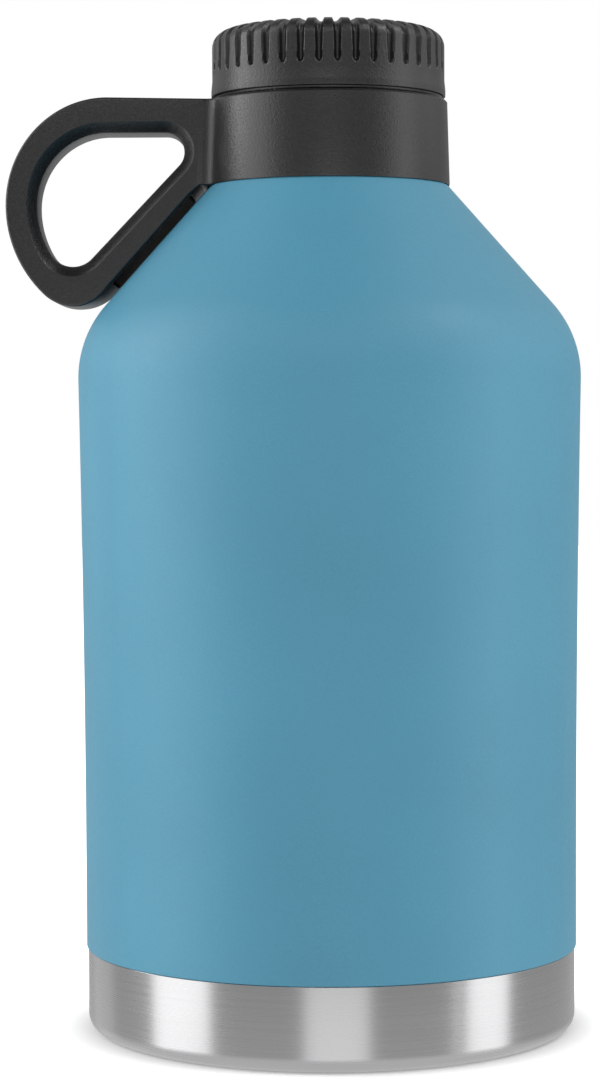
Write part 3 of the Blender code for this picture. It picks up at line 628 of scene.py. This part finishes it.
# Mouth -------------------------------------------------------------------------------------


def thread(start_height, phase):
    """Relief of a two-start thread whose ridges rise by one lead and fade at both ends."""
    root, crest = THREAD_HALF_WIDTH

    def relief(_radius, height, angles):
        raised = np.zeros(len(angles))
        for start in range(THREAD_STARTS):
            turn = (angles - phase - 2.0 * math.pi * start / THREAD_STARTS) % (2.0 * math.pi)
            off = np.abs(height - start_height - THREAD_LEAD * turn / (2.0 * math.pi))
            ends = np.minimum(turn, 2.0 * math.pi - turn) / THREAD_RUNOUT
            flank = np.clip((root - off) / (root - crest), 0.0, 1.0)
            raised = np.maximum(raised, THREAD_HEIGHT * np.clip(ends, 0.0, 1.0) * flank)
        return raised

    return relief


def mouth_ring():
    """The threaded ring with its lip, its land and groove, its flange and the keys on that."""
    lip_middle = (MOUTH_RADIUS + RING_WALL_RADIUS) / 2.0
    threaded = dense([(RING_WALL_RADIUS, LIP_HEIGHT - 0.7), (RING_WALL_RADIUS, RING_WALL_BOTTOM)],
                     THREAD_ROW_GAP)
    lip = rounded([(lip_middle, LIP_HEIGHT, 0.0), (RING_WALL_RADIUS, LIP_HEIGHT, 0.6),
                   (RING_WALL_RADIUS, LIP_HEIGHT - 1.0, 0.0)])[:-1]
    seat = rounded([(RING_WALL_RADIUS, RING_WALL_BOTTOM, 0.0),
                    (RING_LAND_RADIUS, RING_LAND_TOP, 0.2),
                    (RING_LAND_RADIUS, RING_GROOVE_TOP, 0.1),
                    (RING_GROOVE_RADIUS, RING_GROOVE_TOP, 0.1),
                    (RING_GROOVE_RADIUS, FLANGE_TOP, 0.15), (NECK_RADIUS, FLANGE_TOP, 0.2),
                    (NECK_RADIUS, FLANGE_BOTTOM, 0.2), (MOUTH_RADIUS, FLANGE_BOTTOM, 0.0),
                    (MOUTH_RADIUS, LIP_HEIGHT, 0.7), (lip_middle, LIP_HEIGHT, 0.0)], 4)[1:-1]
    profile = lip + threaded + seat
    ring = turned("mouth_ring", profile, NECK_SEGMENTS, thread(NECK_THREAD_START, THREAD_PHASE),
                  len(lip) + len(threaded), sharp_angle=50.0)
    for index in range(KEY_COUNT):
        combine(ring, key(index, 0.0, FLANGE_BOTTOM + 0.2, FLANGE_TOP - 0.2, 0.2), "UNION")
    shaded(ring, 50.0)
    dressed(ring, "satin_steel", "vessel", "neck_ring")


def key(index, clearance, low, high, fillet=0.0):
    """A key on the mouth ring's flange, or with clearance the notch for it."""
    inner, outer = NECK_RADIUS - 1.0, KEY_RADIUS + clearance
    size = (outer - inner, KEY_WIDTH + 2.0 * clearance, high - low)
    place = Matrix.Translation(((inner + outer) / 2.0, 0.0, (low + high) / 2.0))
    spin = Matrix.Rotation(KEY_ANGLE + 2.0 * math.pi * index / KEY_COUNT, 4, "Z")
    return block(f"key_{index}", size, spin @ place, fillet)


def retaining_ring():
    """The split ring above the collar's seat, just below the collar's top."""
    low, high = bottom("collar_snap_ring"), COLLAR_TOP - 0.1
    inner, outer = SNAP_RING_RADII
    fillet = SNAP_RING_FILLET
    profile = rounded([(SNAP_RING_MIDDLE, high, 0.0), (outer, high, fillet), (outer, low, fillet),
                       (inner, low, fillet), (inner, high, fillet),
                       (SNAP_RING_MIDDLE, high, 0.0)], 4)[:-1]
    gap = math.degrees(SNAP_RING_GAP / 2.0 / SNAP_RING_MIDDLE)
    dressed(swept_arc("retaining_ring", profile, gap, 360.0 - gap, 180), "brushed_steel",
            "vessel", "collar_snap_ring")


# Collar and handle -------------------------------------------------------------------------


def collar_plan(radius, inset):
    """Circle with a filleted tab on its -X side, all moved inwards by inset."""
    radius, half, fillet = radius - inset, TAB_HALF - inset, ROOT_FILLET + inset
    centre_y = half + fillet
    centre_x = -math.sqrt((radius + fillet) ** 2 - centre_y ** 2)
    contact = math.degrees(math.atan2(centre_y, centre_x))
    ends = centre_x - 1.0
    points = [(ends, -half)]
    points += arc((centre_x, -centre_y), (fillet, fillet), 90.0, 180.0 - contact, 14)
    points += arc((0.0, 0.0), (radius, radius), -contact, contact, 180)[1:-1]
    points += arc((centre_x, centre_y), (fillet, fillet), contact - 180.0, -90.0, 14)
    points.append((ends, half))
    return points


def collar_body():
    """Tapered wall with a small round edge below and a bevel above."""
    low_edge, high_edge = COLLAR_EDGE
    levels = []
    for step in np.linspace(0.0, 90.0, 4):
        a = math.radians(step)
        levels.append((COLLAR_BOTTOM + low_edge * (1.0 - math.sin(a)),
                       low_edge * (1.0 - math.cos(a))))
    levels.reverse()
    for inset in np.linspace(0.0, high_edge, 5):
        levels.append((COLLAR_TOP - high_edge + inset, inset))
    bm = bmesh.new()
    rings = []
    for height, inset in levels:
        rise = (height - COLLAR_BOTTOM) / (COLLAR_TOP - COLLAR_BOTTOM)
        radius = COLLAR_RADII[0] + (COLLAR_RADII[1] - COLLAR_RADII[0]) * rise
        rings.append([bm.verts.new((x, y, height)) for x, y in collar_plan(radius, inset)])
    count = len(rings[0])
    for lower, upper in zip(rings, rings[1:]):
        for i in range(count):
            j = (i + 1) % count
            bm.faces.new((lower[i], lower[j], upper[j], upper[i]))
    bm.faces.new(rings[0])
    bm.faces.new(rings[-1])
    return from_bmesh("collar_and_handle", bm)


def loop_end(loop):
    """Left end of a loop outline, from its top round to the foot of its strut."""
    angle, tip, point = loop["angle"], loop["tip"], loop["point"]
    offset = ((point[0] - LOWER_CENTRE[0]) * math.cos(angle)
              - (point[1] - LOWER_CENTRE[1]) * math.sin(angle))
    spread = loop["bend"] - tip
    swing = math.acos((tip - offset) / spread) - angle
    tip_centre = (LOWER_CENTRE[0] - spread * math.cos(swing),
                  LOWER_CENTRE[1] - spread * math.sin(swing))
    lowest = 180.0 + math.degrees(swing)
    points = arc(LOOP_CENTRE, loop["radii"], 90.0, 180.0, 40)
    points += arc(LOWER_CENTRE, (loop["bend"],) * 2, 180.0, lowest, 16)[1:]
    points += arc(tip_centre, (tip, tip), lowest, 360.0 - math.degrees(angle), 28)[1:]
    return points


def line(start, end, steps):
    return [(start[0] + (end[0] - start[0]) * i / steps,
             start[1] + (end[1] - start[1]) * i / steps) for i in range(1, steps + 1)]


def loop_outlines():
    """Outer and inner outlines of the handle, with as many points in each stretch."""
    strut_steps, root_steps, top_steps = 30, 24, 16
    outer = loop_end(OUTER_LOOP)
    outer += line(outer[-1], (OUTER_LOOP["point"][0], ROOT_BOTTOM), strut_steps)
    outer += line(outer[-1], (ROOT_X, ROOT_BOTTOM), root_steps // 8)
    outer += line(outer[-1], (ROOT_X, HANDLE_TOP), root_steps - root_steps // 8)
    outer += line(outer[-1], outer[0], top_steps)[:-1]
    inner = loop_end(INNER_LOOP)
    angle, point = INNER_LOOP["angle"], INNER_LOOP["point"]
    corner_z = LOOP_CENTRE[1] + INNER_LOOP["radii"][1] - INNER_CORNER
    run = INNER_CORNER + (point[1] - corner_z) * math.sin(angle)
    corner = (point[0] - run / math.cos(angle), corner_z)
    turn = arc(corner, (INNER_CORNER,) * 2, -math.degrees(angle), 90.0, root_steps)
    inner += line(inner[-1], turn[0], strut_steps) + turn[1:]
    inner += line(inner[-1], inner[0], top_steps)[:-1]
    return outer, inner


def outline_normals(points, outwards):
    """Unit normals of an outline that runs anticlockwise, away from the material."""
    around = np.array(points)
    run = np.roll(around, -1, axis=0) - np.roll(around, 1, axis=0)
    normals = np.stack([run[:, 1], -run[:, 0]], axis=1) * (1.0 if outwards else -1.0)
    return normals / np.linalg.norm(normals, axis=1, keepdims=True)


def strut_weights(count):
    """How far each point of the outer outline is on the strut's underside, from 0 to 1."""
    foot = len(loop_end(OUTER_LOOP))
    return np.interp(np.arange(count) - foot, STRUT_LEAN_SPAN, (0, 1, 1, 0))


def handle_loop():
    """Band between two outlines, with a rounded section at every point along it."""
    outer, inner = loop_outlines()
    sides = ((np.array(outer), outline_normals(outer, True), OUTER_EDGE),
             (np.array(inner), outline_normals(inner, False), INNER_EDGE))
    steps = 8
    quarter = [math.radians(90.0 * k / steps) for k in range(steps + 1)]
    rows = []
    for side, angles in ((0, quarter), (1, quarter[::-1])):
        places, normals, (across, depth, power) = sides[side]
        rows += [(places - normals * across * (1.0 - abs(math.cos(a)) ** power),
                  -(HANDLE_HALF - depth + depth * math.sin(a) ** power)) for a in angles]
    rows += [(places, -y) for places, y in reversed(rows)]
    underside = strut_weights(len(outer))[:, None] * sides[0][1]
    front, back = STRUT_LEAN
    slope = (front + back) / (2.0 * HANDLE_HALF)
    edge = len(quarter)
    rows = [(places - underside * ((front - back) / 2.0 - slope * y), y)
            if index < edge or index >= len(rows) - edge else (places, y)
            for index, (places, y) in enumerate(rows)]
    bm = bmesh.new()
    rings = [[bm.verts.new((x, y, z)) for x, z in places] for places, y in rows]
    count = len(outer)
    for here, there in zip(rings, rings[1:] + rings[:1]):
        for i in range(count):
            j = (i + 1) % count
            bm.faces.new((here[i], here[j], there[j], there[i]))
    return from_bmesh("handle_loop", bm)


def collar_bore():
    """What is cut out of the collar: room for the neck, the ring's seat and the cone below."""
    clearance = COLLAR_CLEARANCE / math.sin(CONE_ANGLE)
    wide = COLLAR_RADII[0] + 1.0
    profile = rounded([(0.0, COLLAR_TOP + 2.0, 0.0), (COLLAR_COUNTERBORE, COLLAR_TOP + 2.0, 0.0),
                       (COLLAR_COUNTERBORE, COLLAR_SEAT, 0.2), (COLLAR_BORE, COLLAR_SEAT, 0.2),
                       (COLLAR_BORE, cone_height(COLLAR_BORE) + clearance, 0.0),
                       (wide, cone_height(wide) + clearance, 0.0),
                       (wide, COLLAR_BOTTOM - 2.0, 0.0), (0.0, COLLAR_BOTTOM - 2.0, 0.0)])
    return turned("collar_bore", profile, NECK_SEGMENTS, closed=False)


def strut_pocket():
    """What is cut out of the strut's underside."""
    angle, point = OUTER_LOOP["angle"], OUTER_LOOP["point"]
    along = Vector((-math.sin(angle), 0.0, -math.cos(angle)))
    inward = Vector((-math.cos(angle), 0.0, math.sin(angle)))
    middle = Vector((point[0], 0.0, point[1])) + along * (POCKET["start"] + POCKET["length"] / 2)
    centre = middle + inward * (POCKET["depth"] - POCKET["over"]) / 2.0
    axes = Matrix((inward, Vector((0.0, 1.0, 0.0)), along)).transposed().to_4x4()
    size = (POCKET["depth"] + POCKET["over"], POCKET["width"], POCKET["length"])
    return block("strut_pocket", size, Matrix.Translation(centre) @ axes, 1.5)


def collar_and_handle():
    collar = collar_body()
    combine(collar, handle_loop(), "UNION")
    combine(collar, collar_bore(), "DIFFERENCE")
    combine(collar, strut_pocket(), "DIFFERENCE")
    for index in range(KEY_COUNT):
        notch = key(index, COLLAR_CLEARANCE, FLANGE_BOTTOM - COLLAR_CLEARANCE, COLLAR_SEAT + 0.1)
        combine(collar, notch, "DIFFERENCE")
    shaded(collar, 30.0)
    dressed(collar, "black_nylon", "vessel", "handle_collar")


# Cap ---------------------------------------------------------------------------------------


def grip(radius, height, angles):
    """Grooves that widen up the cap's side and fade out over its top."""
    pitch = 2.0 * math.pi / GRIP_COUNT
    across = np.abs((angles % pitch) - pitch / 2.0) * CAP_RADIUS
    low, high = GRIP_HALF_WIDTH
    end = min(1.0, max(0.0, (height - GRIP_END) / GRIP_ROUND))
    width = low + (high - low) * (height - GRIP_END) / (CAP_TOP - GRIP_END)
    away = np.minimum(across / max(width * math.sqrt(end), 1e-6), 1.0)
    outer, inner = GRIP_FADE
    fade = min(1.0, max(0.0, (radius - inner) / (outer - inner)))
    depth = GRIP_DEPTH * end * (2.0 - end) * fade * fade * (3.0 - 2.0 * fade)
    return -depth * (1.0 - away ** 3) ** 1.4


def cap_shell():
    """The ribbed outer cap, open below, with a lip that hides the steel behind the gap."""
    side, rise = CAP_CORNER
    corner = (CAP_RADIUS - side, CAP_TOP - rise)
    over = [(0.0, CAP_TOP), (GRIP_FADE[1] - 1.0, CAP_TOP)]
    grooved = dense([over[-1]] + arc(corner, CAP_CORNER, 90.0, 0.0, 24)
                    + [(CAP_RADIUS, GRIP_END - 0.8)], 0.4)[1:]
    roof = CAP_TOP - CAP_ROOF
    flare_start, flare_end = SKIRT_FLARE
    lip_radius, lip_bottom = CAP_BORE + CAP_LIP[0], CAP_BOTTOM - CAP_LIP[1]
    inside = rounded([(CAP_RADIUS, CAP_BOTTOM + flare_start, 0.0),
                      (SKIRT_RADIUS, CAP_BOTTOM + flare_end, 3.0),
                      (SKIRT_RADIUS, CAP_BOTTOM, 0.35), (lip_radius + 0.2, CAP_BOTTOM, 0.2),
                      (lip_radius, lip_bottom, 0.2), (CAP_BORE, lip_bottom, 0.2),
                      (CAP_BORE, roof, 2.5), (0.0, roof, 0.0)])
    profile = over + grooved + inside
    shell = turned("ribbed_cap", profile, CAP_SEGMENTS, grip, len(over) + len(grooved),
                   closed=False, sharp_angle=60.0)
    dressed(shell, "black_nylon", "cap", "cap_shell")


def inner_cap():
    """The threaded liner, whose ridges run between those of the mouth ring."""
    low, high = LINER_BOTTOM + LINER_MARGIN, LINER_CEILING - LINER_MARGIN
    outside = rounded([(0.0, LINER_TOP, 0.0), (LINER_RADIUS, LINER_TOP, 0.7),
                       (LINER_RADIUS, LINER_BOTTOM, 0.3), (LINER_BORE, LINER_BOTTOM, 0.3),
                       (LINER_BORE, low, 0.0)])
    threaded = dense([(LINER_BORE, low), (LINER_BORE, high)], THREAD_ROW_GAP)[1:]
    roof = rounded([(LINER_BORE, high, 0.0), (LINER_BORE, LINER_CEILING, 0.4),
                    (0.0, LINER_CEILING, 0.0)])[1:]
    start = NECK_THREAD_START - THREAD_LEAD / THREAD_STARTS / 2.0
    start += THREAD_LEAD * CAP_THREAD_LEAD_IN / (2.0 * math.pi)
    ridges = thread(start, THREAD_PHASE + CAP_THREAD_LEAD_IN)

    def relief(radius, height, angles):
        on_wall = radius < LINER_BORE + 0.01 and height > LINER_BOTTOM + 0.5
        return ridges(radius, height, angles) if on_wall else np.zeros(len(angles))

    liner = turned("threaded_inner_cap", outside + threaded + roof, NECK_SEGMENTS, relief,
                   len(outside) + len(threaded), closed=False, sharp_angle=50.0)
    dressed(liner, "black_nylon", "cap", "cap_liner")


def gasket():
    low, high = bottom("cap_gasket"), top("cap_gasket")
    outer, inner, fillet = reach("cap_gasket"), GASKET_BORE, GASKET_ROUND
    middle = (outer + inner) / 2.0
    profile = rounded([(middle, high, 0.0), (outer, high, fillet), (outer, low, fillet),
                       (inner, low, fillet), (inner, high, fillet), (middle, high, 0.0)], 6)[:-1]
    dressed(turned("sealing_gasket", profile, NECK_SEGMENTS), "grey_silicone", "seal",
            "cap_gasket")


# Hidden CAD nodes that stay as they are, with finished materials.
CARRIED_OVER = {
    "outer_bottom": "satin_steel",
    "vacuum_port_seal": "seal_metal",
    "getter_pellet": "getter_alloy",
    "getter_cup": "satin_steel",
    "cap_foam": "white_foam",
}


def carry_over():
    for name, slot in CARRIED_OVER.items():
        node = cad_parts[name]
        node.data.materials.clear()
        node.data.materials.append(MATERIALS[slot])


# Studio ------------------------------------------------------------------------------------

# Brightness of the room around the bottle, by the height of a unit direction.
ROOM_LIGHT = ((-0.6, 0.95), (-0.2, 0.56), (0.05, 0.36), (0.4, 0.58), (0.7, 0.6), (1.0, 0.12))


def aimed(obj, place, target):
    obj.location = place
    obj.rotation_mode = "QUATERNION"
    obj.rotation_quaternion = (Vector(target) - Vector(place)).to_track_quat("-Z", "Y")


def softbox(name, place, target, size, power):
    light = bpy.data.lights.new(name, "AREA")
    light.shape = "RECTANGLE"
    light.size, light.size_y = size
    light.energy = power
    obj = bpy.data.objects.new(name, light)
    bpy.context.scene.collection.objects.link(obj)
    aimed(obj, place, target)


def studio():
    """Softboxes, strip, panels and fill around the bottle, in a room that varies with height.

    The camera sees plain white behind the floor instead of that room.
    """
    softbox("left_softbox", (-1.0, -0.35, 0.78), (0.0, -0.35, 0.78), (0.64, 2.45), 8.6)
    softbox("right_softbox", (1.0, -0.28, 0.78), (0.0, -0.28, 0.78), (0.46, 2.45), 5.8)
    softbox("left_back_panel", (-1.0, 0.1, 0.6), (0.0, 0.1, 0.6), (0.24, 0.8), 3.2)
    softbox("right_back_panel", (1.0, 0.3, 0.65), (0.0, 0.0, 0.3), (0.65, 0.9), 1.0)
    softbox("right_strip", (1.0, -0.635, 0.78), (0.0, -0.635, 0.78), (0.05, 2.45), 0.45)
    softbox("left_rim_panel", (-0.8, 0.75, 0.0), (0.0, 0.0, 0.0), (0.5, 1.0), 0.35)
    softbox("front_fill", (0.1, -2.2, -0.55), (0.1, 0.0, -0.55), (1.16, 1.1), 4.4)
    softbox("front_panel", (-0.1, -2.1, 1.4), (0.0, 0.0, 0.2), (1.4, 0.5), 4.6)
    softbox("right_top_panel", (0.85, -0.35, 1.3), (0.0, 0.0, 0.15), (0.8, 0.6), 3.6)
    world = bpy.data.worlds.new("studio")
    bpy.context.scene.world = world
    world.use_nodes = True
    tree = world.node_tree
    room = tree.nodes["Background"]
    heading = tree.nodes.new("ShaderNodeTexCoord")
    split = tree.nodes.new("ShaderNodeSeparateXYZ")
    lift = tree.nodes.new("ShaderNodeMapRange")
    lift.inputs["From Min"].default_value = -1.0
    tree.links.new(heading.outputs["Generated"], split.inputs[0])
    tree.links.new(split.outputs["Z"], lift.inputs["Value"])
    ramp = tree.nodes.new("ShaderNodeValToRGB")
    tree.links.new(lift.outputs["Result"], ramp.inputs["Fac"])
    stops = ramp.color_ramp.elements
    stops.remove(stops[1])
    for index, (height, grey) in enumerate(ROOM_LIGHT):
        place = (height + 1.0) / 2.0
        stop = stops[0] if index == 0 else stops.new(place)
        stop.position, stop.color = place, (grey, grey, grey, 1.0)
    tree.links.new(ramp.outputs["Color"], room.inputs["Color"])
    backdrop = tree.nodes.new("ShaderNodeBackground")
    backdrop.inputs["Color"].default_value = (1.0, 1.0, 1.0, 1.0)
    mix = tree.nodes.new("ShaderNodeMixShader")
    path = tree.nodes.new("ShaderNodeLightPath")
    tree.links.new(path.outputs["Is Camera Ray"], mix.inputs[0])
    tree.links.new(room.outputs[0], mix.inputs[1])
    tree.links.new(backdrop.outputs[0], mix.inputs[2])
    tree.links.new(mix.outputs[0], tree.nodes["World Output"].inputs["Surface"])
    bpy.context.scene.view_settings.view_transform = "Standard"


def studio_floor():
    """A pale floor that glows more further out, so that it fades into the white behind it.
    Its weak glow near the base is a painted shadow round the bottle.
    """
    bm = bmesh.new()
    bmesh.ops.create_grid(bm, x_segments=8, y_segments=8, size=4000.0)
    floor = from_bmesh("studio_floor", bm)
    finish = Finish("pale_floor", 0.9)
    finish.colour(finish.noise(3.0), (0.84, 0.84, 0.84), (0.87, 0.87, 0.87))
    away = finish.node("ShaderNodeVectorMath", {0: finish.place}, operation="LENGTH")
    # Painted shadow: the glow is 0.1 within 74 mm of the axis and full from 97 mm out, darkening
    # the floor round the base.
    glow_dimmed_as_painted_shadow = finish.span(away.outputs["Value"], 0.1, 1.0, 0.074, 0.097)
    finish.tree.links.new(glow_dimmed_as_painted_shadow, finish.shader.inputs["Emission Color"])
    finish.shader.inputs["Emission Strength"].default_value = 1.0
    floor.data.materials.append(finish.material)
    floor.visible_glossy = False
    floor.visible_diffuse = False


def camera():
    data = bpy.data.cameras.new("camera")
    data.sensor_width = 36.0
    data.lens = CAMERA_LENS
    obj = bpy.data.objects.new("camera", data)
    bpy.context.scene.collection.objects.link(obj)
    pitch, yaw, roll = (math.radians(angle) for angle in CAMERA_TURN)
    turn = (Matrix.Rotation(yaw, 4, "Z") @ Matrix.Rotation(math.pi / 2.0 - pitch, 4, "X")
            @ Matrix.Rotation(roll, 4, "Z"))
    obj.matrix_world = Matrix.Translation(CAMERA_PLACE) @ turn
    bpy.context.scene.camera = obj


outer_wall()
base()
vessel()
mouth_ring()
retaining_ring()
collar_and_handle()
cap_shell()
inner_cap()
gasket()
carry_over()
studio()
studio_floor()
camera()
